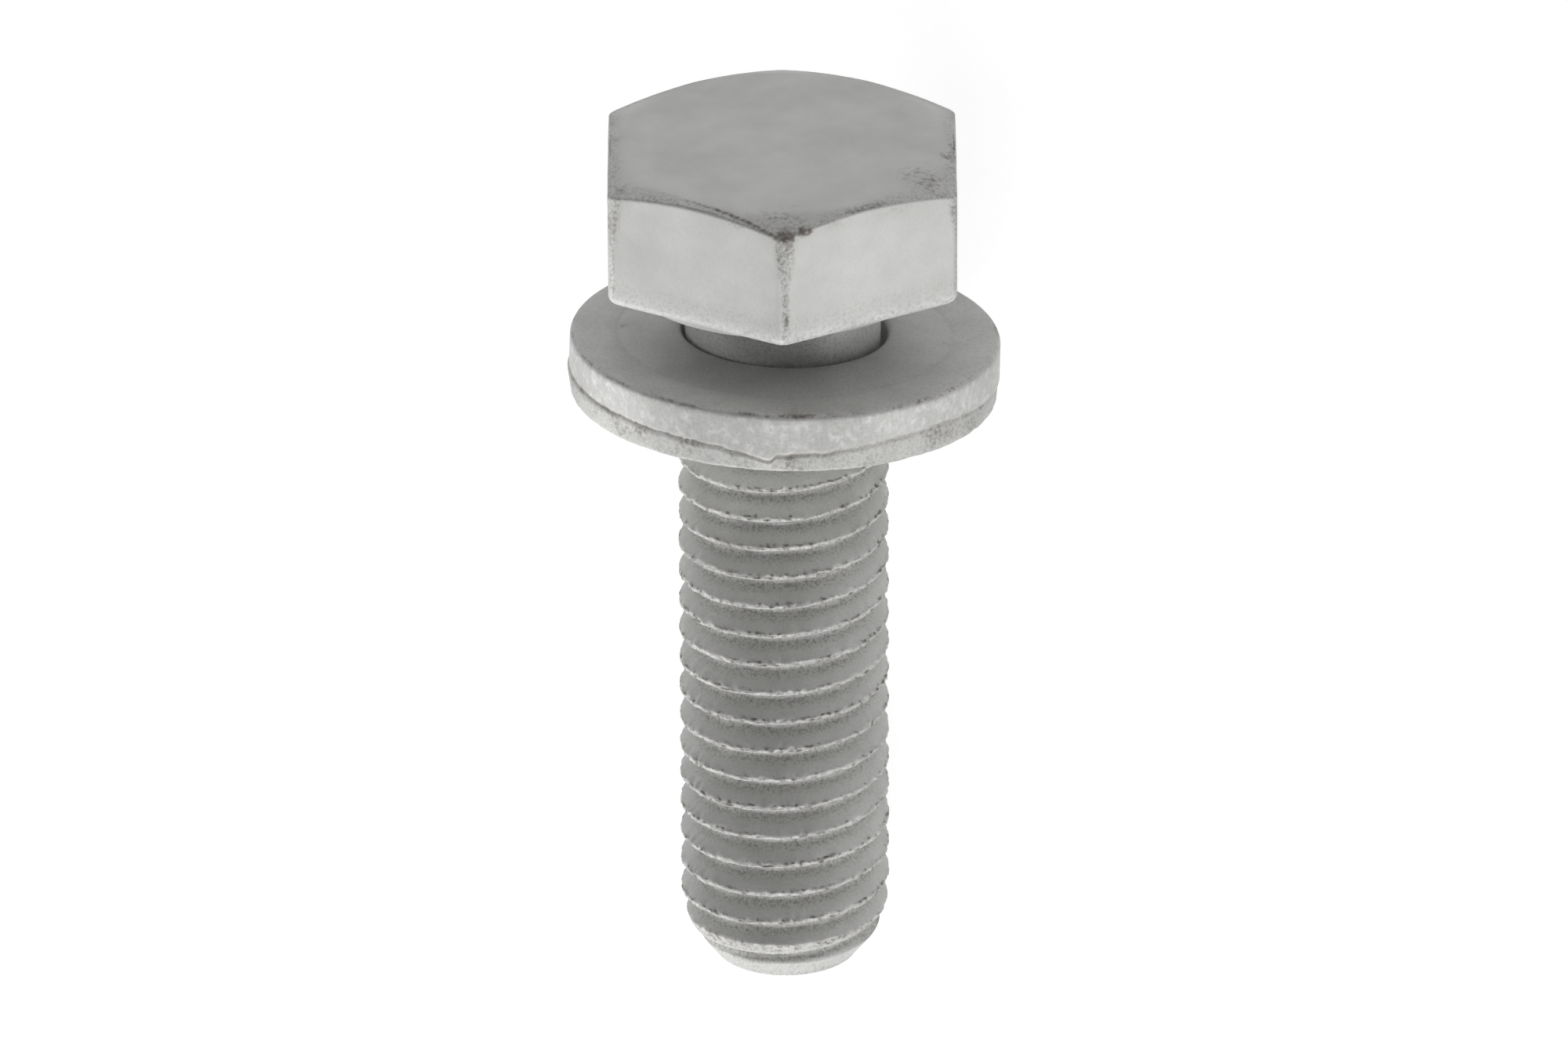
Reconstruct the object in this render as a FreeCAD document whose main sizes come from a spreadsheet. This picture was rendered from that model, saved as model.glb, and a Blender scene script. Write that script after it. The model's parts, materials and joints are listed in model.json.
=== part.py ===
# Hexagon screw with a loose washer that its rolled thread keeps on the neck.
# Each piece is drawn on its own axis, head up, with zero at the head's bearing
# face. Both are then laid down as they come to rest: on the side of the washer's
# rim that leans down and on the last full turn of the thread.
import FreeCAD, Part
import Sketcher
import math
import os

os.makedirs("parts", exist_ok=True)
doc = FreeCAD.newDocument("screw_with_washer")

# Driving sizes, in millimetres and degrees.
driving = [
    ("across_flats", 16.0),  # spanner size of the hexagon
    ("head_height", 6.5),  # bearing face to the flat of the crown
    ("crown_inset", 0.8),  # the flats' width less the crown's diameter
    ("crown_bevel", 21.0),  # slope of the bevel round the crown
    ("corner_round", 0.6),  # radius of the hexagon's upright corners
    ("under_round", 0.4),  # radius of the hexagon's lower edges
    ("bearing_inset", 1.4),  # the flats' width less the bearing face's diameter
    ("bearing_height", 0.6),  # step of the bearing face below the hexagon
    ("screw_length", 35.0),  # bearing face to tip
    ("thread_diameter", 9.8),  # over the crests
    ("blank_relief", 0.75),  # crest diameter less that of the blank, which the neck keeps
    ("neck_length", 5.6),  # bearing face to the first rise of the thread
    ("runout_slope", 30.0),  # rise of the thread's run-out from the axis
    ("neck_fillet", 0.35),
    ("tip_diameter", 6.9),
    ("tip_bevel", 35.0),
    ("washer_diameter", 20.0),
    ("washer_thickness", 2.8),
    ("bore_play", 0.45),  # the washer's bore less the neck
    ("rim_band", 2.3),  # width of the flat band outside the dish
    ("dish_height", 0.3),  # rise of the washer's middle above the band
    ("smooth_height", 1.85),  # sheared zone of the rim, from the top
    ("break_step", 0.1),  # inset of the broken zone under the sheared one
    ("break_taper", 0.2),  # further inset at the lower edge
    ("flare_height", 0.9),  # broken zone of the bore, from the underside
    ("bore_flare", 0.1),  # widening of the bore over that zone
    ("edge_roll", 0.3),  # radius of the rolled upper edges of rim and bore
    ("seat_gap", 0.05),  # from the washer to the run-out it lies on
    ("lean_share", 0.42),  # share of its play by which the washer leans
    ("lean_bearing", 27.0),  # turn of that lean from the corner opposite the top one
]
# Sizes that follow from them.
derived = [
    ("corner_radius", "=across_flats / sqrt(3)"),
    ("crown_radius", "=(across_flats - crown_inset) / 2"),
    ("bevel_reach", "=corner_radius + crown_inset"),
    ("bevel_drop", "=(bevel_reach - crown_radius) * tan(crown_bevel * 1deg)"),
    ("bearing_radius", "=(across_flats - bearing_inset) / 2"),
    ("thread_radius", "=thread_diameter / 2"),
    ("neck_radius", "=(thread_diameter - blank_relief) / 2"),
    ("runout_length", "=(thread_radius - neck_radius) / tan(runout_slope * 1deg)"),
    ("tip_radius", "=tip_diameter / 2"),
    ("tip_length", "=(thread_radius - tip_radius) * tan(tip_bevel * 1deg)"),
    ("last_crest", "=screw_length - tip_length"),
    ("bore_radius", "=neck_radius + bore_play / 2"),
    ("flare_radius", "=bore_radius + bore_flare"),
    ("rim_radius", "=washer_diameter / 2"),
    ("dish_radius", "=rim_radius - rim_band"),
    ("washer_lean", "=lean_share * atan(bore_play / washer_thickness) / 1deg"),
    ("seat_rise", "=(flare_radius - neck_radius) / tan(runout_slope * 1deg)"),
    ("lean_rise", "=flare_radius * sin(washer_lean * 1deg)"),
    ("washer_drop", "=neck_length + seat_rise + dish_height - lean_rise - seat_gap"),
]
sizes = doc.addObject("Spreadsheet::Sheet", "sizes")
for row, (alias, value) in enumerate(driving + derived, start=1):
    sizes.set("A%d" % row, alias)
    sizes.set("B%d" % row, str(value))
    sizes.setAlias("B%d" % row, alias)
doc.recompute()


def origin_plane(body, role):
    """One of a body's own origin planes."""
    return next(plane for plane in body.Origin.OriginFeatures if plane.Role == role)


def outline(body, name, role, corners):
    """Closed sketch of straight runs. Each corner is two expressions of the sheet's cells."""
    sketch = body.newObject("Sketcher::SketchObject", name)
    sketch.AttachmentSupport = (origin_plane(body, role), [""])
    sketch.MapMode = "FlatFace"
    places = [
        FreeCAD.Vector(float(sketch.evalExpression(across)), float(sketch.evalExpression(along)), 0)
        for across, along in corners
    ]
    for start, place in enumerate(places):
        following = (start + 1) % len(places)
        sketch.addGeometry(Part.LineSegment(place, places[following]), False)
    for start in range(len(places)):
        following = (start + 1) % len(places)
        sketch.addConstraint(Sketcher.Constraint("Coincident", start, 2, following, 1))
    for start, place in enumerate(places):
        across, along = corners[start]
        tie(sketch, start, "DistanceX", across, place.x, -2)
        tie(sketch, start, "DistanceY", along, place.y, -1)
    return sketch


def tie(sketch, line, kind, expression, reach, axis):
    """Hold a line's first end at a distance from the origin, or on the axis itself for nought."""
    if expression == "0":
        sketch.addConstraint(Sketcher.Constraint("PointOnObject", line, 1, axis))
        return
    index = sketch.addConstraint(Sketcher.Constraint(kind, -1, 1, line, 1, reach))
    label = "%s_%d" % (kind, line)
    sketch.renameConstraint(index, label)
    sketch.setExpression("Constraints." + label, expression)


def turned(body, kind, name, sketch):
    """Revolve a section about the piece's axis, to add it or to cut it away."""
    feature = body.newObject(kind, name)
    feature.Profile = sketch
    feature.ReferenceAxis = (sketch, ["V_Axis"])
    feature.Angle = 360
    doc.recompute()
    return feature


def rounded(body, name, base, chosen, radius):
    """Round those edges of a feature that the test picks."""
    picked = ["Edge%d" % number for number, edge in enumerate(base.Shape.Edges, start=1) if chosen(edge)]
    fillet = body.newObject("PartDesign::Fillet", name)
    fillet.Base = (base, picked)
    fillet.setExpression("Radius", radius)
    doc.recompute()
    return fillet


def ring(radius, height):
    """Test for a circle about the piece's axis."""
    def chosen(edge):
        curve = edge.Curve
        return (
            isinstance(curve, Part.Circle)
            and abs(curve.Radius - radius) < 0.001
            and abs(curve.Center.z - height) < 0.001
        )
    return chosen


def upright(edge):
    """Test for a straight edge along the piece's axis."""
    return isinstance(edge.Curve, Part.Line) and abs(edge.Curve.Direction.z) > 0.999


def level_with(height):
    """Test for an edge that lies flat at a height."""
    def chosen(edge):
        box = edge.BoundBox
        return abs(box.ZMin - height) < 0.001 and abs(box.ZMax - height) < 0.001
    return chosen


# The screw: cold-headed hexagon, bearing face, neck, thread and bevelled tip.
screw = doc.addObject("PartDesign::Body", "screw")
screw.Label = "screw"
half_flats = "sizes.across_flats / 2"
hexagon = outline(screw, "hexagon", "XY_Plane", [
    ("0", "-sizes.corner_radius"),
    (half_flats, "-sizes.corner_radius / 2"),
    (half_flats, "sizes.corner_radius / 2"),
    ("0", "sizes.corner_radius"),
    ("-" + half_flats, "sizes.corner_radius / 2"),
    ("-" + half_flats, "-sizes.corner_radius / 2"),
])
hexagon.setExpression("AttachmentOffset.Base.z", "sizes.bearing_height")
head = screw.newObject("PartDesign::Pad", "head")
head.Profile = hexagon
head.setExpression("Length", "sizes.head_height - sizes.bearing_height")
doc.recompute()
head_corners = rounded(screw, "head_corners", head, upright, "sizes.corner_round")
rounded(screw, "head_underside", head_corners, level_with(sizes.bearing_height), "sizes.under_round")

crown_section = outline(screw, "crown_section", "XZ_Plane", [
    ("sizes.crown_radius", "sizes.head_height"),
    ("sizes.bevel_reach", "sizes.head_height - sizes.bevel_drop"),
    ("sizes.bevel_reach", "sizes.head_height"),
])
turned(screw, "PartDesign::Groove", "crown_bevel", crown_section)

shank_section = outline(screw, "shank_section", "XZ_Plane", [
    ("0", "sizes.bearing_height"),
    ("sizes.bearing_radius", "sizes.bearing_height"),
    ("sizes.bearing_radius", "0"),
    ("sizes.neck_radius", "0"),
    ("sizes.neck_radius", "-sizes.neck_length"),
    ("sizes.thread_radius", "-sizes.neck_length - sizes.runout_length"),
    ("sizes.thread_radius", "-sizes.last_crest"),
    ("sizes.tip_radius", "-sizes.screw_length"),
    ("0", "-sizes.screw_length"),
])
shank = turned(screw, "PartDesign::Revolution", "shank", shank_section)
rounded(screw, "neck_fillet", shank, ring(sizes.neck_radius, 0.0), "sizes.neck_fillet")

# The washer: blanked from plate and slightly dished, zero at its lower band.
washer = doc.addObject("PartDesign::Body", "washer")
washer.Label = "washer"
middle_top = "sizes.washer_thickness + sizes.dish_height"
smooth_end = "sizes.washer_thickness - sizes.smooth_height"
washer_section = outline(washer, "washer_section", "XZ_Plane", [
    ("sizes.flare_radius", "sizes.dish_height"),
    ("sizes.bore_radius", "sizes.dish_height + sizes.flare_height"),
    ("sizes.bore_radius", middle_top),
    ("sizes.dish_radius", "sizes.washer_thickness"),
    ("sizes.rim_radius", "sizes.washer_thickness"),
    ("sizes.rim_radius", smooth_end),
    ("sizes.rim_radius - sizes.break_step", smooth_end),
    ("sizes.rim_radius - sizes.break_step - sizes.break_taper", "0"),
    ("sizes.dish_radius", "0"),
])
blank = turned(washer, "PartDesign::Revolution", "blank", washer_section)
rim_edge = rounded(washer, "rim_edge", blank, ring(sizes.rim_radius, sizes.washer_thickness), "sizes.edge_roll")
bore_edge = ring(sizes.bore_radius, sizes.washer_thickness + sizes.dish_height)
rounded(washer, "bore_edge", rim_edge, bore_edge, "sizes.edge_roll")


def resting_lean():
    """Angle of the screw's axis to the floor, touching at the thread's end and the washer's rim."""
    # The rim touches with the lower border of its sheared zone, where it leans down.
    lean = math.radians(sizes.washer_lean)
    border = sizes.washer_thickness - sizes.smooth_height
    reach = sizes.rim_radius * math.cos(lean) + border * math.sin(lean)
    level = -sizes.washer_drop + border * math.cos(lean) - sizes.rim_radius * math.sin(lean)
    return math.degrees(math.atan2(reach - sizes.thread_radius, sizes.last_crest + level))


# On the screw, the washer hangs on the neck and leans down to one side.
bearing = math.radians(sizes.lean_bearing)
lean_axis = FreeCAD.Vector(-math.cos(bearing), math.sin(bearing), 0)
on_neck = FreeCAD.Placement(
    FreeCAD.Vector(0, 0, -sizes.washer_drop),
    FreeCAD.Rotation(lean_axis, sizes.washer_lean),
)
# Laid down, the head points to +Y, held off the floor, and the washer leans straight down.
spun = FreeCAD.Rotation(FreeCAD.Vector(0, 0, 1), sizes.lean_bearing)
laid = FreeCAD.Rotation(FreeCAD.Vector(1, 0, 0), resting_lean() - 90)
screw.Placement = FreeCAD.Placement(FreeCAD.Vector(), laid.multiply(spun))
washer.Placement = screw.Placement.multiply(on_neck)
doc.recompute()

# The origin lies on the floor under the middle of the whole.
reach = FreeCAD.BoundBox()
for body in (screw, washer):
    reach.add(body.Shape.optimalBoundingBox(True, False))
to_floor = FreeCAD.Placement(
    FreeCAD.Vector(-reach.Center.x, -reach.Center.y, -reach.ZMin), FreeCAD.Rotation()
)
for body in (screw, washer):
    body.Placement = to_floor.multiply(body.Placement)
doc.recompute()

for thing in doc.Objects:
    if "Invalid" in thing.State or "Error" in thing.State:
        raise RuntimeError("%s did not build: %s" % (thing.Name, thing.State))
for body in (screw, washer):
    if body.Shape.isNull() or not body.Shape.isValid():
        raise RuntimeError("%s has no sound shape" % body.Label)
for body in (screw, washer):
    body.Shape.exportStep("parts/%s.step" % body.Label)
    box = body.Shape.BoundBox
    print("%s: %.1f cubic mm, %.2f x %.2f x %.2f mm" % (
        body.Label, body.Shape.Volume, box.XLength, box.YLength, box.ZLength))
print("axis lies %.2f degrees off the floor" % resting_lean())
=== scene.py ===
# Hexagon screw with a loose washer on its neck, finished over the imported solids.
# Lengths are in millimetres on each piece's own axis, head up: on the screw nought is the
# bearing face, on the washer it is the lower band. Angles are in degrees, counted from the
# right as the camera sees it, so -90 faces the camera.

import json
import math

import bmesh
import bpy
import numpy as np
from mathutils import Matrix, Vector, noise


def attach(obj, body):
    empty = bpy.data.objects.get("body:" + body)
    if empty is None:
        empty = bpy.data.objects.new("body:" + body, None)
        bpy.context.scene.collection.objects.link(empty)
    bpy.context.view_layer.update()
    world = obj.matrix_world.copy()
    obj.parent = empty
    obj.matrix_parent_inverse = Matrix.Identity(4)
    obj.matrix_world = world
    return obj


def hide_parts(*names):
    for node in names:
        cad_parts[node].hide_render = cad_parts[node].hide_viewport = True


millimetre = 0.001  # in metres

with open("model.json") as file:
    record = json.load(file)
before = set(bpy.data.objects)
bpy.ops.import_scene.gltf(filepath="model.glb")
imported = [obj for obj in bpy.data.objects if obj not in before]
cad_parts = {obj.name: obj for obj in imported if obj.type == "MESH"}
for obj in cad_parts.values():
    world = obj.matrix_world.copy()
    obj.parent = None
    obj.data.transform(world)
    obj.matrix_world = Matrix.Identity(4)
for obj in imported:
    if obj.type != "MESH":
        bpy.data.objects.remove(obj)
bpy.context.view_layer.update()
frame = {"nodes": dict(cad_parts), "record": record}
mounts = {mount["name"]: mount for mount in frame["record"]["mounts"]}
print("frame loaded:", ", ".join(sorted(frame["nodes"])))


# Where the two pieces lie

headHeight = 6.5  # bearing face to crown


def standing(right, up, origin):
    # matrix of a piece whose own axes are these, in the row frame
    back = up.cross(right)
    matrix = Matrix((right, back, up)).transposed().to_4x4()
    matrix.translation = origin
    return matrix


def screwPlace():
    up = -Vector(mounts["thread"]["axis"])
    right = Vector(mounts["spanner_flat_right"]["axis"])
    crown = Vector(mounts["crown"]["pos_m"])
    return standing(right, up, crown - up * headHeight * millimetre)


def washerPlace(screw):
    # the washer's middle is where the screw's axis meets the plane of its lower band
    up = -Vector(mounts["washer_seat"]["axis"])
    seat = Vector(mounts["washer_seat"]["pos_m"])
    axis, start = screw.to_3x3().col[2], screw.translation
    middle = start + axis * ((seat - start).dot(up) / axis.dot(up))
    right = screw.to_3x3().col[0]
    right = (right - up * right.dot(up)).normalized()
    return standing(right, up, middle)


screwMatrix = screwPlace()
washerMatrix = washerPlace(screwMatrix)


# Shared by both pieces

weldDistance = 0.0015  # points closer than this become one


def blend(low, high, value):
    # 0 up to low, 1 from high on and smooth between; it falls where low is the larger
    share = np.clip((value - low) / (high - low), 0, 1)
    return share * share * (3 - 2 * share)


def unevenness(points, grain, seed):
    # smooth noise of about -1 to 1 at each point, with that grain in millimetres
    shift = Vector((seed * 17.3, seed * 5.7, seed * 11.1))
    return np.array([noise.noise(Vector(point) / grain + shift) for point in points])


def quarterTurn(steps):
    return np.radians(np.linspace(0, 90, steps))


def turned(rows, degrees):
    # points of rows of radius and height, each of them one number or one to an angle
    radius, height = [np.array([np.broadcast_to(value, degrees.shape) for value in part])
                      for part in zip(*rows)]
    angle = np.radians(degrees)
    return np.stack([radius * np.cos(angle), radius * np.sin(angle), height], -1).reshape(-1, 3)


def newObject(name, data):
    piece = bpy.data.objects.new(name, data)
    bpy.context.scene.collection.objects.link(piece)
    return piece


def meshPiece(name, points, faces, material):
    # the mesh still lies on its own axis, in millimetres
    mesh = bpy.data.meshes.new(name)
    mesh.from_pydata(points.tolist(), [], faces)
    mesh.materials.append(material)
    work = bmesh.new()
    work.from_mesh(mesh)
    # rows squeezed together at an end of the thread become one
    bmesh.ops.remove_doubles(work, verts=work.verts, dist=weldDistance)
    bmesh.ops.recalc_face_normals(work, faces=work.faces)
    work.to_mesh(mesh)
    work.free()
    mesh.shade_smooth()
    return newObject(name, mesh)


def ownPoints(piece):
    flat = np.zeros(len(piece.data.vertices) * 3)
    piece.data.vertices.foreach_get("co", flat)
    return flat.reshape(-1, 3)


def placesOf(points):
    # height, distance from the axis and angle of each point
    right, back, up = points.T
    return up, np.hypot(right, back), np.degrees(np.arctan2(back, right))


def paint(piece, name, values):
    # a mask on the points, which the coating's nodes read by name
    layer = piece.data.attributes.new(name, "FLOAT", "POINT")
    layer.data.foreach_set("value", np.clip(values, 0, 1).astype(np.float32))


def markedAt(points, marks):
    # each mark is its middle, how far it reaches across and upwards, and its strength
    strength = np.zeros(len(points))
    for right, back, up, across, tall, most in marks:
        away = (points - (right, back, up)) / (across, across, tall)
        strength = np.maximum(strength, most * np.exp(-(away ** 2).sum(1)))
    return strength


def patched(strengths, patchy):
    # wear of a place: what it has everywhere, and what its patches add
    everywhere, more = strengths
    return everywhere + more * patchy


def layDown(piece, matrix):
    # keeps the points' own places for the patterns, then moves the mesh to where the solid lies
    layer = piece.data.attributes.new("ownPlace", "FLOAT_VECTOR", "POINT")
    layer.data.foreach_set("vector", ownPoints(piece).astype(np.float32).ravel())
    piece.data.transform(matrix @ Matrix.Scale(millimetre, 4))


# Zinc-flake coated steel

coating = {
    "flake": "#c9c9c7",  # light zinc and aluminium flakes
    "cloud": "#bcbcba",  # thicker and thinner places of the coat
    "binder": "#8f8d8a",  # duller binder in the coarse places
    "streak": "#b3b1ae",  # drawn down the cut edge by the die
    "lighterAndHighlight": "#d6d6d5",  # lighter coat: a painted highlight along the crests, bright flecks on the sheared rim, a band at the flats' foot
    "rubAndShadeTone": "#9a9894",  # coat rubbed thin, down to its grey ground; also the painted shade in the thread roots
    "speck": "#6a6560",  # dark specks where the steel looks through
    "tornAndShade": "#766b61",  # brown line where the plate broke, darkened as painted shade of the step there
    # width of each pattern's marks
    "cloudWidth": 2.5,
    "grainWidth": 0.13,  # flakes are far finer, and are drawn this coarse so that they show
    "streakWidth": 0.16,
    "streakDraw": 0.12,  # how fast a streak changes upwards, as a share of that across
    "speckWidth": 0.2,
    "clusterWidth": 0.9,
    # the noise from which a pattern shows, and at which it shows in full
    "cloudRange": (0.3, 0.7),
    "grainRange": (0.45, 0.68),
    "streakRange": (0.45, 0.7),
    "spotRange": (0.36, 0.58),
    "clusterShare": 0.35,  # how far the specks gather in clusters
    "speckFrom": 0.675,  # noise that makes a speck where nothing has rubbed
    "speckEased": 0.42,  # how much less does it where the coat is rubbed away
    "speckSoftness": 0.24,
    "speckReach": 0.7,  # rubbing at which specks show in full
    "rubAndShadeShare": 0.33,  # how far a full mask takes the tone, for rubbing and painted shade alike
    "coarseBump": 0.8,
    "smoothBump": 0.05,
    "grainDepth": 0.008,
    "metallic": 0.35,
    "roughness": 0.6,
}


def linear(hexColour):
    channels = [int(hexColour[place:place + 2], 16) / 255 for place in (1, 3, 5)]
    return [c / 12.92 if c <= 0.04045 else ((c + 0.055) / 1.055) ** 2.4 for c in channels] + [1]


def emptyTree(owner):
    owner.use_nodes = True
    owner.node_tree.nodes.clear()
    return owner.node_tree


def addNode(tree, kind, inputs, output=0, **settings):
    # inputs go by the socket's name or number and are values or other nodes' outputs
    node = tree.nodes.new(kind)
    for field, value in settings.items():
        setattr(node, field, value)
    for socket, value in inputs.items():
        if isinstance(value, bpy.types.NodeSocket):
            tree.links.new(value, node.inputs[socket])
        else:
            node.inputs[socket].default_value = value
    return node.outputs[output] if node.outputs else node


def zincFlakeSteel(name, look):
    # cold-formed steel with a baked zinc-flake coat: matt and light grey, finely mottled where
    # the steel is rough, with dark specks where edges have rubbed
    # painted shade also darkens the thread roots and the washer's break line, and a painted highlight
    # lightens the crests
    material = bpy.data.materials.new(name)
    tree = emptyTree(material)
    place = addNode(tree, "ShaderNodeAttribute", {}, "Vector", attribute_name="ownPlace")
    coarse, rubbedAndShade, lighterAndHighlight, tornAndShade, streaked = [
        addNode(tree, "ShaderNodeAttribute", {}, "Fac", attribute_name=mask)
        for mask in ("coarse", "rubbedAndShade", "lighterAndHighlight", "tornAndShade", "streaked")]
    cloud, grain, speck, cluster = [
        addNode(tree, "ShaderNodeTexNoise",
                {"Vector": place, "Scale": 1 / look[width], "Detail": detail, "Roughness": 0.6})
        for width, detail in (("cloudWidth", 3), ("grainWidth", 2), ("speckWidth", 2), ("clusterWidth", 2))]
    drawn = addNode(tree, "ShaderNodeVectorMath", {0: place, 1: (1, 1, look["streakDraw"])},
                    operation="MULTIPLY")
    lines = addNode(tree, "ShaderNodeTexNoise",
                    {"Vector": drawn, "Scale": 1 / look["streakWidth"], "Detail": 2})

    # each pattern is cut to a range of its values, and shows as far as its mask lets it
    cloudShare, grains, streaks, spots = [
        addNode(tree, "ShaderNodeMapRange",
                {"Value": pattern, "From Min": look[limits][0], "From Max": look[limits][1]})
        for pattern, limits in ((cloud, "cloudRange"), (grain, "grainRange"),
                                (lines, "streakRange"), (speck, "spotRange"))]
    grainShare, streakShare, lighterAndHighlightShare, tornAndShadeShare, rubAndShadeShare = [
        addNode(tree, "ShaderNodeMath", {0: pattern, 1: mask}, operation="MULTIPLY")
        for pattern, mask in ((grains, coarse), (streaks, streaked), (spots, lighterAndHighlight), (spots, tornAndShade),
                              (look["rubAndShadeShare"], rubbedAndShade))]

    # the more an edge has rubbed, or a root has painted shade, the more of the noise counts as a speck
    small = addNode(tree, "ShaderNodeMath", {0: speck, 1: 1 - look["clusterShare"]}, operation="MULTIPLY")
    both = addNode(tree, "ShaderNodeMath", {0: cluster, 1: look["clusterShare"], 2: small},
                   operation="MULTIPLY_ADD")
    lowered = addNode(tree, "ShaderNodeMath", {0: both, 1: look["speckFrom"]}, operation="SUBTRACT")
    over = addNode(tree, "ShaderNodeMath", {0: rubbedAndShade, 1: look["speckEased"], 2: lowered},
                   operation="MULTIPLY_ADD")
    depth = addNode(tree, "ShaderNodeMapRange", {"Value": over, "From Max": look["speckSoftness"]})
    reach = addNode(tree, "ShaderNodeMapRange", {"Value": rubbedAndShade, "From Max": look["speckReach"]})
    speckShare = addNode(tree, "ShaderNodeMath", {0: depth, 1: reach}, operation="MULTIPLY")

    # sockets 6 and 7 of a mix are its two colours, and output 2 is the mixed one
    colour = linear(look["flake"])
    for share, tone in ((cloudShare, "cloud"), (grainShare, "binder"), (streakShare, "streak"),
                        (lighterAndHighlightShare, "lighterAndHighlight"), (rubAndShadeShare, "rubAndShadeTone"), (speckShare, "speck"),
                        (tornAndShadeShare, "tornAndShade")):
        colour = addNode(tree, "ShaderNodeMix", {"Factor": share, 6: colour, 7: linear(look[tone])}, 2,
                         data_type="RGBA")
    bumpShare = addNode(tree, "ShaderNodeMath", {0: coarse, 1: look["coarseBump"], 2: look["smoothBump"]},
                        operation="MULTIPLY_ADD")
    bump = addNode(tree, "ShaderNodeBump",
                   {"Height": grain, "Strength": bumpShare, "Distance": look["grainDepth"] * millimetre})
    shader = addNode(tree, "ShaderNodeBsdfPrincipled", {
        "Base Color": colour, "Metallic": look["metallic"], "Roughness": look["roughness"],
        "Normal": bump})
    addNode(tree, "ShaderNodeOutputMaterial", {"Surface": shader})
    return material


screwSteel = zincFlakeSteel("zincFlakeColdHeadedSteel", coating)
washerSteel = zincFlakeSteel("zincFlakeBlankedSteel", coating)
print("materials made")


# The screw

screwLook = {
    "acrossFlats": 16.0,
    "cornerRound": 0.6,
    "crownRadius": 7.6,
    "crownBevel": 21.0,
    "crownRoll": 0.35,  # half width of the soft turn from crown to bevel
    "bevelRoll": 0.12,  # rounding between bevel and flats
    "underRound": 0.42,  # rounding of the hexagon's lower edge
    "cornerUnderRound": 0.04,  # more of it at the corners
    "cornerUnderWidth": 7.0,  # over about this many degrees
    "hexagonFoot": 0.4,
    "bearingRadius": 7.3,
    "bearingAside": -0.18,  # the forged bearing face sits a little to the left
    "bearingRoll": 0.08,
    "neckRadius": 4.525,
    "neckFillet": 0.35,
    "neckLength": 5.6,
    "runOut": 2.0,  # length over which the thread grows out of the neck
    "threadRadius": 4.9,
    "pitch": 1.5,
    "rootHeight": -10.754,  # a root's height at angle nought
    "lastRootDeeper": 0.2,  # by this share, between the next two heights
    "lastRootFrom": -32.8,
    "lastRootFull": -33.8,
    "length": 35.0,
    "endRoll": 0.06,
    "endDish": 0.03,  # the end face lies in by this
    "tipAside": 0.05,  # how far the pressed end is off the middle
    "columns": 240,
    "dent": 0.012,  # unevenness of the forged head
    "dentOut": 0.004,  # no dent stands out further than this
    "ragged": 0.045,  # unevenness of the rolled crests
    # share of the coat that has rubbed off each place, and what patches add to it
    "bevelRub": (0.2, 0.42),
    "wedgeRub": (0.3, 0.2),  # the second number is added towards the top
    "aboveFootRub": 0.3,  # in patches only
    "crestEdgeRub": (0.3, 0.25),
    "crestSpots": 0.4,
    "crestRub": (0.3, 0.5),
    # darkening of the thread roots: painted shade
    "rootPaintedShade": 0.36,
    "lastCrestRub": (0.4, 0.3),
    "endRub": 0.2,
    # how much lighter the coat is painted: a band at the foot of the flats, and a painted highlight along
    # the crests
    "footPress": (0.3, 0.5),
    "crestPaintedHighlight": 0.35,
    # how coarse the coat is
    "bevelCoarse": 0.7,
    "flatCoarse": 0.1,
    "wedgeCoarse": 0.9,
    "footCoarse": 0.5,
    "aboveFootCoarse": 0.3,
    "neckCoarse": 0.5,
    "threadCoarse": 0.2,
    "endCoarse": 0.6,
}

# dark places where the coat is rubbed or thin
headMarks = (
    (0.1, -8.95, 5.9, 0.55, 0.3, 1.5), (0.95, -8.5, 6.0, 0.5, 0.25, 1.3), (0.1, -9.1, 2.6, 0.2, 0.35, 0.8),
    (0.15, -9.1, 1.8, 0.2, 0.45, 1.0), (6.5, -3.9, 6.2, 1.9, 1.2, 0.6), (4.8, -5.9, 6.1, 1.2, 0.6, 0.45),
    (7.7, -1.5, 6.3, 0.6, 0.9, 0.7), (-7.4, -4.4, 6.1, 0.6, 0.6, 0.65), (-7.7, 0.5, 6.3, 0.5, 0.9, 0.6),
    (0.0, -8.1, 6.2, 1.9, 0.7, 0.55), (-2.0, -7.9, 6.1, 0.9, 0.3, 0.5), (2.2, -7.6, 6.1, 0.9, 0.3, 0.5),
)

# rows of the head: radii on crown and bearing face, shares of the way across bevel and flats
crownRadii = (0.01, 1.5, 3.0, 4.5, 5.8, 6.6)
bearingRadii = (6.6, 5.6)
bevelShares = (0.12, 0.25, 0.4, 0.55, 0.7, 0.82, 0.92)
flatShares = (0.01, 0.025, 0.05, 0.09, 0.15, 0.22, 0.3, 0.38, 0.46, 0.54, 0.62, 0.7, 0.78, 0.86, 0.93, 1)

# height above the crest as a share of half a pitch, and the radius lost there; the rolled
# crest leans towards the tip, so the flank that faces the tip is the steeper one
threadProfile = (
    (-1, 0.87), (-0.86, 0.85), (-0.76, 0.79), (-0.23, 0.05), (-0.18, 0), (-0.07, 0), (0, 0.014),
    (0.1, 0.05), (0.25, 0.15), (0.4, 0.29), (0.55, 0.47), (0.7, 0.66), (0.85, 0.82), (1, 0.87),
)
# heights of the rows within one pitch, from one root to just under the next, as shares of it
threadRows = (0, 0.07, 0.12, 0.25, 0.385, 0.41, 0.43, 0.455, 0.48, 0.5, 0.525, 0.55, 0.59, 0.65, 0.75, 0.88)
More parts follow.
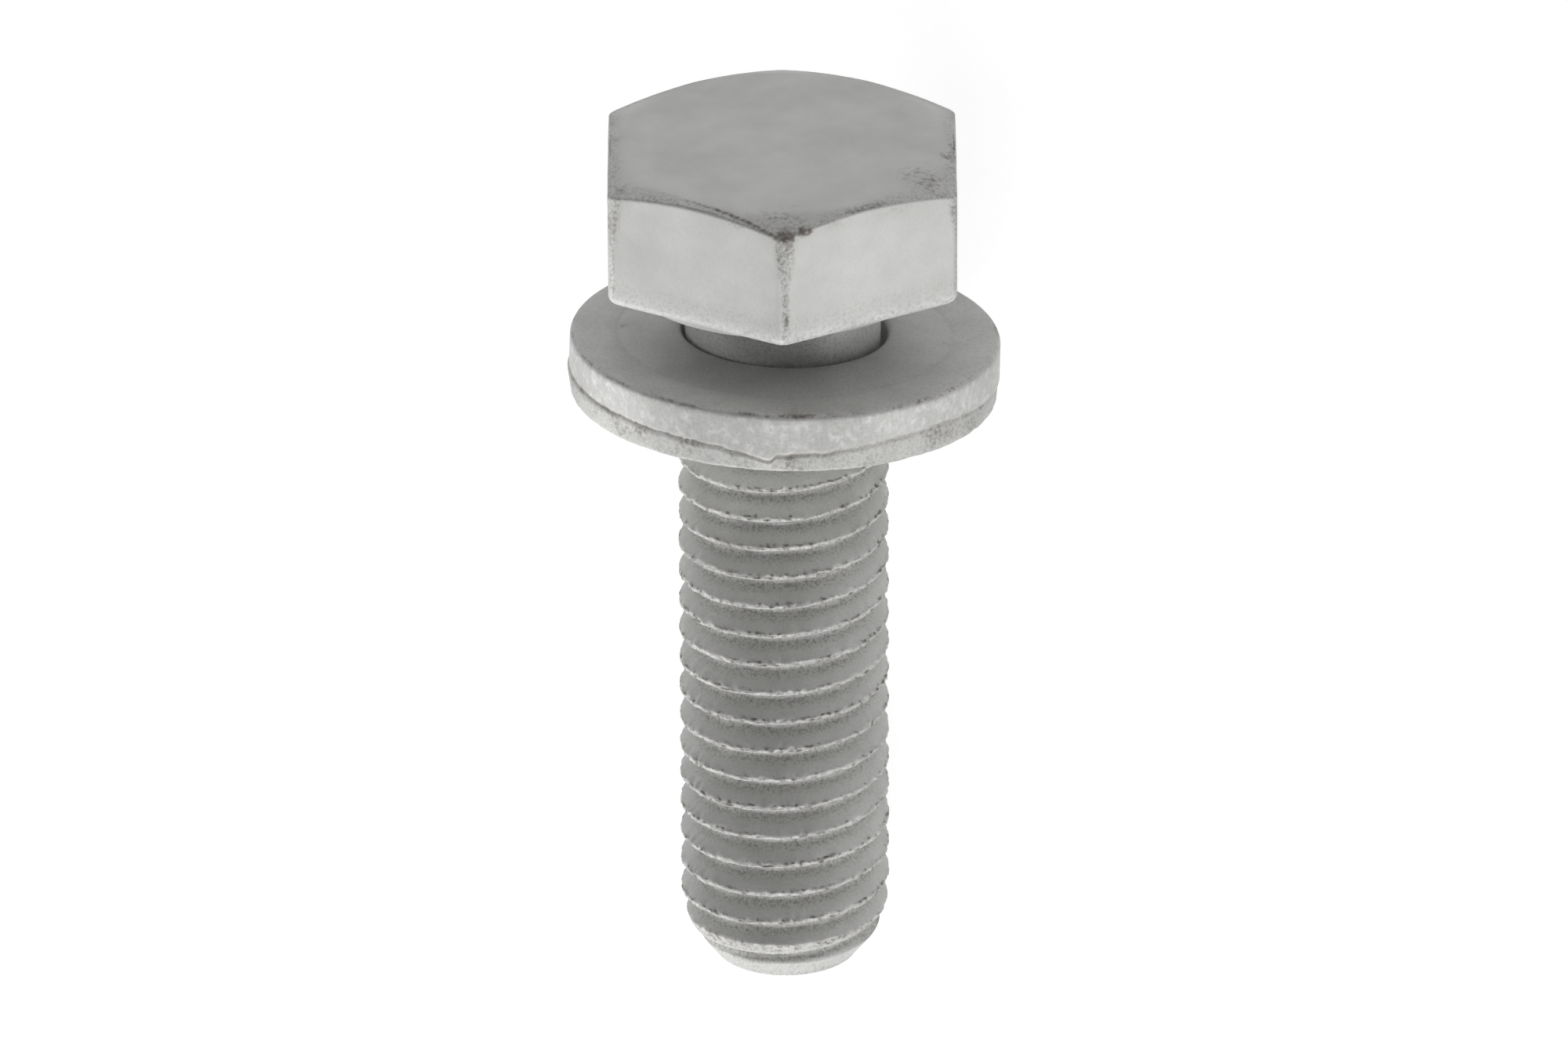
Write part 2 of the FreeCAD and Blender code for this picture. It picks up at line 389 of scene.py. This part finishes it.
# largest radius near the tip, by height
tipShape = (
    (-35.0, 3.39), (-34.8, 3.52), (-34.5, 3.76), (-33.9, 4.25), (-33.6, 4.42), (-33.0, 4.64), (-32.5, 4.8),
    (-31.7, 4.89),
)
endRadii = (3.0, 2.0, 1.0, 0.01)


def hexagonRadius(degrees, look):
    # radius and angle from the nearest corner; flats are to the right and left, corners in front
    half, roundness = look["acrossFlats"] / 2, look["cornerRound"]
    fromCorner = np.radians((degrees + 60) % 60 - 30)
    flat = half / np.cos(math.radians(30) - np.abs(fromCorner))
    centre = (half - roundness) / math.cos(math.radians(30))
    sideways = centre * np.sin(fromCorner)
    arc = centre * np.cos(fromCorner) + np.sqrt(np.maximum(roundness ** 2 - sideways ** 2, 0))
    turn = math.atan2(roundness / 2, centre + roundness * math.cos(math.radians(30)))
    return np.where(np.abs(fromCorner) < turn, arc, flat), fromCorner


def columnAngles(columns):
    # twice as close at the hexagon's corners as on average
    even = np.arange(columns) * 360 / columns
    return even - 0.5 / 6 * np.degrees(np.sin(np.radians(6 * (even - 30))))


def threadRadiusAt(degrees, height, look):
    # radius there, and how far it is above the nearest crest as a share of half a pitch
    turnShare = (height - look["rootHeight"]) / look["pitch"] - degrees / 360
    aboveCrest = (turnShare % 1) * 2 - 1
    sunk = np.interp(aboveCrest, *zip(*threadProfile))
    sunk = sunk * (1 + look["lastRootDeeper"] * blend(look["lastRootFrom"], look["lastRootFull"], height))
    grown = blend(-look["neckLength"], -look["neckLength"] - look["runOut"], height)
    radius = look["neckRadius"] + grown * (look["threadRadius"] - sunk - look["neckRadius"])
    return np.minimum(radius, np.interp(height, *zip(*tipShape))), aboveCrest


def headRows(degrees, look):
    # from the crown's middle down to the neck's end
    corner, fromCorner = hexagonRadius(degrees, look)
    slope = math.tan(math.radians(look["crownBevel"]))
    inner, roll = look["crownRadius"], look["crownRoll"]
    rows = [(radius, headHeight) for radius in crownRadii]
    for step in np.linspace(-1, 1, 7):  # parabola between crown and bevel
        rows.append((inner + roll * step, headHeight - slope * roll * (step + 1) ** 2 / 4))
    edge = look["bevelRoll"]
    start, end = inner + roll, corner - edge
    for share in bevelShares:
        radius = np.maximum(start + (end - start) * share, start)
        rows.append((radius, headHeight - slope * (radius - inner)))
    bevelEnd = headHeight - slope * (end - inner)
    flatStart = headHeight - slope * (corner - inner) - edge
    for turn in np.linspace(0, 1, 5):  # curve from bevel to flat
        before, middle, after = (1 - turn) ** 2, 2 * turn * (1 - turn), turn ** 2
        rows.append((before * end + middle * corner + after * corner,
                     before * bevelEnd + middle * (flatStart + edge) + after * flatStart))
    nearCorner = np.exp(-(np.degrees(fromCorner) / look["cornerUnderWidth"]) ** 2)
    under = look["underRound"] + look["cornerUnderRound"] * nearCorner
    foot = look["hexagonFoot"] + under
    rows += [(corner, flatStart + (foot - flatStart) * share) for share in flatShares]
    for turn in quarterTurn(7)[1:]:
        rows.append((corner - under * (1 - math.cos(turn)), foot - under * math.sin(turn)))
    bearing = look["bearingRadius"] + look["bearingAside"] * np.cos(np.radians(degrees))
    roll = look["bearingRoll"]
    rows += [(bearing + 0.06, look["hexagonFoot"]), (bearing, look["hexagonFoot"] - roll),
             (bearing, roll), (bearing - roll, 0)]
    rows += [(radius, 0) for radius in bearingRadii]
    neck, fillet = look["neckRadius"], look["neckFillet"]
    for turn in quarterTurn(5):
        rows.append((neck + fillet * (1 - math.sin(turn)), -fillet * (1 - math.cos(turn))))
    return rows + [(neck, height) for height in np.linspace(-fillet, -look["neckLength"], 8)[1:-1]]


def helixRows(degrees, look):
    # rows of the thread from the neck down; each climbs by a pitch on its way round, and what
    # would reach past the neck's end or the tip is squeezed together there
    pitch, top, bottom = look["pitch"], -look["neckLength"], -look["length"]
    turns = math.ceil((top - bottom) / pitch) + 2
    firstRoot = look["rootHeight"] + pitch * math.ceil((top - look["rootHeight"]) / pitch)
    rows = []
    for turn in range(turns):
        for share in (1,) + threadRows[:0:-1]:
            height = firstRoot - pitch * turn + pitch * (share - 1)
            along = np.clip(height + pitch * degrees / 360, bottom, top)
            rows.append((threadRadiusAt(degrees, along, look)[0], along))
    return rows


def tipRows(look):
    # the flat end, from its edge to the middle
    edge = (tipShape[0][1] - look["endRoll"], -(look["length"] - 0.01))
    return [edge] + [(radius, -(look["length"] - look["endDish"])) for radius in endRadii]


def screwFaces(columns, head, thread, tip):
    # from the numbers of rows; at the seam a row of the thread meets the one a pitch above it
    def pastSeam(row):
        inThread = head <= row < head + thread
        return max(head, row - len(threadRows)) if inThread else row

    rows = head + thread + tip
    faces = []
    for row in range(rows - 1):
        upper, lower = row * columns, (row + 1) * columns
        for column in range(columns - 1):
            faces.append((upper + column, lower + column, lower + column + 1, upper + column + 1))
        last = columns - 1
        faces.append((upper + last, lower + last, pastSeam(row + 1) * columns, pastSeam(row) * columns))
    faces.append(tuple(range(columns)))
    faces.append(tuple(range(rows * columns - 1, (rows - 1) * columns - 1, -1)))
    return faces


def roughenScrew(points, look):
    # dents of the forging, ragged crests, and a tip that was pressed a little aside
    level, out = points[:, 2], np.hypot(points[:, 0], points[:, 1])
    onHead = blend(-0.2, 0.4, level) * blend(1.0, 5.0, out)
    onCrest = blend(4.45, 4.8, out) * blend(-6.5, -8, level) * (1 - blend(-6.5, -5.5, level))
    dents = look["dent"] * (unevenness(points, 2.2, 1) + 0.5 * unevenness(points, 0.5, 2))
    notches = look["ragged"] * np.minimum(unevenness(points, 0.25, 3) * 2 - 0.5, 0)
    outward = np.minimum(dents, look["dentOut"]) * onHead + notches * onCrest
    points[:, :2] *= (1 + outward / np.maximum(out, 1))[:, None]
    points[:, 2] += look["ragged"] * 1.3 * onCrest * unevenness(points, 0.45, 4)
    points[:, 0] += look["tipAside"] * blend(-33.0, -34.2, level)


def headWear(points, look, patchy):
    # how far the coat of head and neck is rubbed, pressed and coarse, from 0 to 1; each place
    # is blended in between two heights, radii or distances
    level, out, around = placesOf(points)
    corner = hexagonRadius(around, look)[0]
    inward = corner - out
    edgeLevel = headHeight - math.tan(math.radians(look["crownBevel"])) * (corner - look["crownRadius"])
    aboveEdge = blend(-0.06, 0.0, level - edgeLevel)
    onBevel = aboveEdge * blend(1.1, 0.1, inward) * blend(7.2, 7.8, out)
    onSide = blend(0.3, 0.1, inward)
    onFlat = onSide * blend(0.4, 0.7, level) * blend(0.03, -0.02, level - edgeLevel)
    atFoot = onSide * blend(0.3, 0.5, level) * blend(1.5, 0.8, level)
    aboveFoot = onSide * blend(0.9, 1.2, level) * blend(2.2, 1.6, level)
    onNeck = blend(-0.2, -0.5, level) * blend(-7.5, -6.5, level) * blend(5.5, 5.0, out)
    # a wedge down each upright corner, in degrees from a line just beside it
    fromCorner = np.abs(np.degrees(hexagonRadius(around - 0.8, look)[1]))
    width = 1.2 + 2.7 * blend(3.0, 5.8, level)
    wedge = blend(width * 1.2, width * 0.5, fromCorner) * onFlat
    # a dark line leaves the left face's upper edge at the front corner and runs inwards
    fromFace = around + 120
    across, along = out * np.cos(np.radians(fromFace)), out * np.sin(np.radians(fromFace))
    fromLine = look["acrossFlats"] / 2 - across - 0.05 - 0.085 * (4.6 - along)
    inkLine = aboveEdge * blend(0.22, 0.02, np.abs(fromLine)) * blend(5.3, 4.9, np.abs(along))
    inkLine *= (0.45 + 0.4 * blend(-3.0, 2.0, along)) * (np.abs(fromFace) < 40)
    rubbedAndShade = np.maximum.reduce([
        onBevel * patched(look["bevelRub"], patchy), aboveFoot * look["aboveFootRub"] * patchy, inkLine,
        wedge * patched(look["wedgeRub"], blend(3.0, 5.5, level)) * (0.5 + patchy),
        markedAt(points, headMarks)])
    coarse = np.maximum.reduce([
        onBevel * look["bevelCoarse"], onFlat * look["flatCoarse"], wedge * look["wedgeCoarse"],
        atFoot * look["footCoarse"], aboveFoot * look["aboveFootCoarse"], onNeck * look["neckCoarse"]])
    return rubbedAndShade, atFoot * patched(look["footPress"], patchy), coarse


def threadWear(points, look, patchy):
    # the same for thread and tip, with painted shade in the roots and a painted highlight along the crests
    level, out, around = placesOf(points)
    aboveCrest = threadRadiusAt(around, level, look)[1]
    threaded = blend(-6.5, -8, level)
    envelope = np.interp(level, *zip(*tipShape))
    cut = blend(0.02, 0.08, look["threadRadius"] - envelope) * blend(-34.0, -33.8, level)
    lastCrest = cut * blend(0.05, 0.01, envelope - out) * blend(4.3, 4.4, out)
    endCone = blend(-33.9, -34.1, level)
    # the roots: painted shade, and a duller, coarser coat
    inRoot = blend(0.3, 0.9, np.abs(aboveCrest)) * threaded * blend(4.8, 4.3, out)
    wavy = aboveCrest + 0.05 * unevenness(points, 0.3, 9)
    onCrest = threaded * blend(4.5, 4.7, out)
    crest = onCrest * blend(-0.26, -0.2, wavy) * blend(0.0, -0.08, wavy)
    crestEdge = onCrest * blend(-0.08, 0.0, wavy) * blend(0.26, 0.08, wavy)
    blobs = blend(0.0, 0.5, unevenness(points, 0.22, 11))
    notched = blend(0.0, 0.4, unevenness(points, 0.3, 12))
    spotted = blend(0.05, 0.35, unevenness(points, 0.2, 13))
    rubbedAndShade = np.maximum.reduce([
        crestEdge * (patched(look["crestEdgeRub"], patchy) + look["crestSpots"] * spotted),
        crest * patched(look["crestRub"], notched), inRoot * look["rootPaintedShade"],
        lastCrest * patched(look["lastCrestRub"], patchy), endCone * look["endRub"]])
    coarse = np.maximum.reduce([
        threaded * look["threadCoarse"], crest, inRoot, lastCrest, endCone * look["endCoarse"]])
    # the crests are painted lighter in blobs, as a painted highlight
    return rubbedAndShade, crest * blobs * look["crestPaintedHighlight"], coarse


def wearScrew(piece, look):
    points = ownPoints(piece)
    patchy = np.clip(0.6 + 0.9 * unevenness(points, 1.6, 5), 0, 1)
    wear = zip(headWear(points, look, patchy), threadWear(points, look, patchy))
    for mask, (onHead, onThread) in zip(("rubbedAndShade", "lighterAndHighlight", "coarse"), wear):
        paint(piece, mask, np.maximum(onHead, onThread))


def screwPiece(look, material):
    degrees = columnAngles(look["columns"])
    head, thread, tip = headRows(degrees, look), helixRows(degrees, look), tipRows(look)
    points = turned(head + thread + tip, degrees)
    roughenScrew(points, look)
    faces = screwFaces(len(degrees), len(head), len(thread), len(tip))
    piece = meshPiece("screwBody", points, faces, material)
    wearScrew(piece, look)
    layDown(piece, screwMatrix)
    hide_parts("screw")
    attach(piece, "screw")
    return piece


screwBody = screwPiece(screwLook, screwSteel)
print("screw made:", len(screwBody.data.polygons), "faces")


# The washer

washerLook = {
    "rimRadius": 10.0,
    "thickness": 2.8,
    "dishRadius": 7.7,
    "dishHeight": 0.3,
    "boreRadius": 4.75,
    "boreFlare": 0.1,
    "flareHeight": 0.9,
    "edgeRoll": 0.3,
    "shearedLoss": 0.07,  # the sheared zone comes in by half of this in front, all at the left
    "breakStep": 0.04,
    "breakAside": 0.04,  # more of the step to the right, less to the left
    "breakTaper": 0.091,
    "breakTaperBehind": 0.042,  # more of the taper behind, less in front
    "breakSkew": 0.06,  # the punch sat aside, so the break tapers less to the right
    "ringDepth": 0.02,  # mark left by the blanking punch round the dish
    "columns": 560,
    "granular": 0.014,  # unevenness of the broken steel
    "rimWave": 0.012,
    "rimSpare": 0.006,  # the rim stays this far inside the solid
    "footWave": 0.06,
    # share of the coat that has rubbed off each place, and what patches add to it
    "topEdgeRub": (0.25, 0.45),
    "brokenRub": (0.16, 0.42),
    "shearedRub": 0.12,  # this and the next in patches only
    "ringRub": 0.35,
    # the line along the break: brown torn steel, darkened as painted shade of the step
    "tornAndShadeShare": (0.25, 0.4),
    "tornAndShadeWidth": 0.13,
    "shearedStreaks": 0.3,
    # how coarse the coat is
    "brokenCoarse": 0.5,
    "shearedCoarse": 0.3,
    "topCoarse": 0.3,
}

# dark places of the rim and the dish
washerMarks = (
    (-7.4, 0.4, 2.85, 0.5, 0.9, 0.6), (0.7, -9.85, 2.72, 1.5, 0.12, 0.85),
    (-0.7, -9.85, 2.7, 0.5, 0.12, 0.7), (3.2, -9.4, 2.72, 0.7, 0.15, 0.55),
    (-6.3, -7.6, 2.7, 0.8, 0.2, 0.55), (0.3, -9.9, 0.7, 0.25, 0.15, 0.5),
    (7.2, -6.9, 2.7, 0.8, 0.2, 0.55), (-8.6, -4.9, 2.7, 0.6, 0.2, 0.5), (7.6, -1.0, 2.85, 0.5, 1.5, 0.4),
    (-2.2, -9.5, 0.7, 0.5, 0.4, 0.4), (-5.0, -8.4, 0.7, 0.4, 0.3, 0.45), (-3.0, -9.3, 0.6, 0.4, 0.3, 0.5),
)

# height of the line where the sheared zone of the rim ends and the broken one begins
breakLine = (
    (-180, 1.15), (-144, 1.21), (-122, 1.155), (-108, 1.04), (-96.5, 0.66), (-93.5, 0.56), (-92.2, 0.86),
    (-81, 0.93), (-69, 1.125), (-55, 1.294), (-44, 1.342), (-28, 1.16), (-11, 0.95), (20, 0.9), (55, 1.15),
    (85, 0.85), (120, 1.2), (150, 1.0), (180, 1.15),
)


def breakHeight(degrees):
    # the line's table, and the small waves on it
    circle = np.stack([np.cos(np.radians(degrees)), np.sin(np.radians(degrees)), 0 * degrees], -1) * 10
    waves = 0.06 * unevenness(circle, 0.8, 1) + 0.03 * unevenness(circle, 0.3, 8)
    return np.interp(degrees, *zip(*breakLine)) + waves


def washerRows(degrees, border, look):
    # once round the section: top face, rim, underside and bore
    roll, thick = look["edgeRoll"], look["thickness"]
    bore, dish, rise = look["boreRadius"], look["dishRadius"], look["dishHeight"]

    def dished(radius):
        return rise * (dish - radius) / (dish - bore)

    rows = []
    for turn in quarterTurn(5):
        rows.append((bore + roll * (1 - math.cos(turn)),
                     thick + rise - roll * (1 - math.sin(turn)) - 0.01))
    rows += [(radius, thick + dished(radius)) for radius in (5.5, 6.0, 6.5, 7.0, 7.3, 7.5)]
    for radius, share in ((7.58, 0.5), (7.66, 1.0), (7.74, 1.0), (7.82, 0.4)):
        rows.append((radius, thick + max(0, dished(radius)) - look["ringDepth"] * share))
    rows += [(radius, thick) for radius in (7.95, 8.3, 8.8, 9.3)]

    # the rim: sheared zone, its lower border and the broken zone
    toRight, behind = np.cos(np.radians(degrees)), np.sin(np.radians(degrees))
    sheared = look["rimRadius"] - look["shearedLoss"] * (1 - toRight) / 2
    broken = look["rimRadius"] - look["breakStep"] - look["breakAside"] * toRight
    foot = broken - look["breakTaper"] - look["breakTaperBehind"] * behind + look["breakSkew"] * toRight
    for turn in quarterTurn(6):
        rows.append((sheared - roll * (1 - math.sin(turn)), thick - roll * (1 - math.cos(turn))))
    top, lower = thick - roll, border - 0.14
    for share in (0.15, 0.3, 0.45, 0.6, 0.75, 0.87, 0.95):
        rows.append((sheared, top + (border + 0.06 - top) * share))
    rows += [(sheared, border + 0.05), (sheared - 0.02, border),
             (broken - 0.05, border - 0.06), (broken, lower)]
    for share in (0.2, 0.4, 0.6, 0.8, 0.92):
        rows.append((broken * (1 - share) + foot * share, lower * (1 - share)))
    rows += [(foot - 0.03, 0.02), (foot - 0.12, 0)]

    rows += [(radius, 0) for radius in (9.2, 8.6, dish)]
    rows += [(radius, dished(radius)) for radius in (7.0, 6.2, 5.4)]
    flare, flareEnd = bore + look["boreFlare"], rise + look["flareHeight"]
    rows += [(flare + 0.05, rise), (flare, rise + 0.06), (flare - 0.03, rise + 0.5), (bore, flareEnd)]
    return rows + [(bore, flareEnd + (top - look["flareHeight"]) * share) for share in (0.3, 0.6, 0.85)]


def ringFaces(rows, columns):
    faces = []
    for row in range(rows):
        here, following = row * columns, (row + 1) % rows * columns
        for column in range(columns):
            after = (column + 1) % columns
            faces.append((here + column, following + column, following + after, here + after))
    return faces


def roughenWasher(points, line, look):
    # granular broken steel, a rim that isn't quite round, and a lower edge with nicks
    level, out = points[:, 2], np.hypot(points[:, 0], points[:, 1])
    onBroken = blend(0.02, -0.08, level - line) * blend(9.3, 9.6, out)
    rough = unevenness(points, 0.4, 2) + 0.6 * unevenness(points, 0.2, 3)
    wave = unevenness(points, 1.5, 4) - 1
    outward = onBroken * rough * look["granular"] + blend(9.5, 9.9, out) * wave * look["rimWave"]
    outward = np.minimum(outward, look["rimRadius"] - look["rimSpare"] - out)
    points[:, :2] *= (1 + outward / out)[:, None]
    lowerEdge = blend(9.5, 9.75, out) * blend(0.25, 0.0, level)
    points[:, 2] += lowerEdge * np.maximum(0, unevenness(points, 0.5, 6)) * look["footWave"]


def wearWasher(piece, look):
    points = ownPoints(piece)
    level, out, around = placesOf(points)
    line = breakHeight(around)
    patchy = np.clip(0.55 + 0.9 * unevenness(points, 1.1, 7), 0, 1)
    onRim = blend(9.5, 9.7, out)
    topEdge = blend(9.66, 9.8, out) * blend(2.6, 2.68, level)
    brokenZone = onRim * blend(0.0, -0.1, level - line)
    shearedZone = onRim * (1 - brokenZone) * blend(2.75, 2.6, level)
    # line along the break: torn steel, and painted shade of the step
    tornAndShadeLine = onRim * blend(look["tornAndShadeWidth"], 0.02, np.abs(level - line + 0.03))
    ringMark = blend(0.3, 0.05, np.abs(out - look["dishRadius"])) * blend(2.5, 2.7, level)
    onTop = blend(2.7, 2.75, level)
    flecks = blend(-0.1, 0.5, unevenness(points, 0.35, 8))
    paint(piece, "rubbedAndShade", np.maximum.reduce([
        topEdge * patched(look["topEdgeRub"], patchy), brokenZone * patched(look["brokenRub"], patchy),
        ringMark * look["ringRub"] * patchy, shearedZone * look["shearedRub"] * patchy,
        markedAt(points, washerMarks)]))
    paint(piece, "tornAndShade", tornAndShadeLine * patched(look["tornAndShadeShare"], patchy))
    paint(piece, "lighterAndHighlight", shearedZone * flecks)
    paint(piece, "streaked", shearedZone * look["shearedStreaks"])
    paint(piece, "coarse", np.maximum.reduce([
        brokenZone * look["brokenCoarse"], shearedZone * look["shearedCoarse"], onTop * look["topCoarse"]]))


def washerPiece(look, material):
    degrees = np.arange(look["columns"]) * 360 / look["columns"] - 180
    border = breakHeight(degrees)
    rows = washerRows(degrees, border, look)
    points = turned(rows, degrees)
    roughenWasher(points, np.tile(border, len(rows)), look)
    piece = meshPiece("washerBody", points, ringFaces(len(rows), len(degrees)), material)
    wearWasher(piece, look)
    layDown(piece, washerMatrix)
    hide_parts("washer")
    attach(piece, "captive_washer")
    return piece


washerBody = washerPiece(washerLook, washerSteel)
print("washer made:", len(washerBody.data.polygons), "faces")


# Studio

studio = {
    "floorSize": 3.0,  # metres
    "floorColour": "#f0f0f0",  # as the lamps light it; the camera sees it white
    "floorWhite": 0.75,  # how much of the floor camera and gloss see as plain white
    "floorGlow": 1.19,
    "worldGrey": 0.05,
    "aim": -14.0,  # height on the screw's axis that every lamp points at
    # towards each lamp from the screw: degrees to the right of the camera and above the
    # plane across its axis; then metres away, metres wide and watts
    "lamps": {
        "frontLamp": (-4, -45, 0.55, 0.3, 2.4),
        "rightLamp": (60, -14, 0.55, 0.25, 1.6),
        "leftLamp": (-95, -35, 0.55, 0.4, 2.1),
        "sideLamp": (-80, 5, 0.55, 0.25, 0.65),
        "upperLeftLamp": (-90, 55, 0.55, 0.25, 0.25),
        "upperRightLamp": (60, 55, 0.55, 0.25, 0.3),
        "headLamp": (0, 85, 0.55, 0.25, 0.3),
    },
}


def paleFloor(look):
    material = bpy.data.materials.new("paleFloor")
    tree = emptyTree(material)
    camera, gloss, through = [addNode(tree, "ShaderNodeLightPath", {}, ray)
                              for ray in ("Is Camera Ray", "Is Glossy Ray", "Is Transmission Ray")]
    seen = addNode(tree, "ShaderNodeMath", {0: camera, 1: gloss}, operation="MAXIMUM")
    seen = addNode(tree, "ShaderNodeMath", {0: seen, 1: through}, operation="MAXIMUM")
    share = addNode(tree, "ShaderNodeMath", {0: seen, 1: look["floorWhite"]}, operation="MULTIPLY")
    cloth = addNode(tree, "ShaderNodeBsdfDiffuse", {"Color": linear(look["floorColour"])})
    light = addNode(tree, "ShaderNodeEmission", {"Strength": look["floorGlow"]})
    both = addNode(tree, "ShaderNodeMixShader", {0: share, 1: cloth, 2: light})
    addNode(tree, "ShaderNodeOutputMaterial", {"Surface": both})
    half = look["floorSize"] / 2
    corners = [(-half, -half, 0), (half, -half, 0), (half, half, 0), (-half, half, 0)]
    mesh = bpy.data.meshes.new("floor")
    mesh.from_pydata(corners, [], [(0, 1, 2, 3)])
    mesh.materials.append(material)
    floor = newObject("floor", mesh)


def greyWorld(look):
    world = bpy.data.worlds.new("studioWorld")
    tree = emptyTree(world)
    seen = addNode(tree, "ShaderNodeLightPath", {}, "Is Camera Ray")
    # sockets 2 and 3 of a mix are its two numbers
    strength = addNode(tree, "ShaderNodeMix", {"Factor": seen, 2: look["worldGrey"], 3: 1.0},
                       data_type="FLOAT")
    background = addNode(tree, "ShaderNodeBackground", {"Color": (1, 1, 1, 1), "Strength": strength})
    addNode(tree, "ShaderNodeOutputWorld", {"Surface": background})
    bpy.context.scene.world = world


def softLamp(name, place, aim):
    toRight, above, distance, width, power = place
    toRight, above = math.radians(toRight), math.radians(above)
    direction = Vector((math.sin(toRight) * math.cos(above), -math.cos(toRight) * math.cos(above),
                        math.sin(above)))
    towards = (screwMatrix.to_3x3() @ direction).normalized()
    light = bpy.data.lights.new(name, "AREA")
    light.shape, light.size, light.energy = "DISK", width, power
    lamp = newObject(name, light)
    lamp.location = screwMatrix @ Vector((0, 0, aim * millimetre)) + towards * distance
    lamp.rotation_euler = towards.to_track_quat("Z", "Y").to_euler()


paleFloor(studio)
greyWorld(studio)
for lampName, lampPlace in studio["lamps"].items():
    softLamp(lampName, lampPlace, studio["aim"])
print("studio set")


# Camera

cameraLook = {
    "distance": 800.0,
    "elevation": 26.45,  # over the plane across the screw's axis
    "roll": -0.2425,
    "aside": -0.068,  # how far the screw's bearing face sits from the picture's middle
    "above": 11.645,
    "focalPixels": 22145.0,
    "pictureWidth": 2000,  # in those pixels
    "sensor": 36.0,
    "clip": (0.05, 20),  # metres
}


def placeCamera(look):
    tilt, roll = math.radians(look["elevation"]), math.radians(look["roll"])
    back = Vector((0, -math.cos(tilt), math.sin(tilt)))
    level, upward = Vector((1, 0, 0)), Vector((0, math.sin(tilt), math.cos(tilt)))
    right = level * math.cos(roll) + upward * math.sin(roll)
    up = upward * math.cos(roll) - level * math.sin(roll)
    place = back * look["distance"] - right * look["aside"] - up * look["above"]
    data = bpy.data.cameras.new("camera")
    data.sensor_width = look["sensor"]
    data.lens = look["focalPixels"] * look["sensor"] / look["pictureWidth"]
    data.clip_start, data.clip_end = look["clip"]
    camera = newObject("camera", data)
    own = Matrix((right, up, back)).transposed().to_4x4()
    own.translation = place * millimetre
    camera.matrix_world = screwMatrix @ own
    bpy.context.scene.camera = camera


placeCamera(cameraLook)
bpy.context.scene.view_settings.view_transform = "Standard"
print("camera placed")
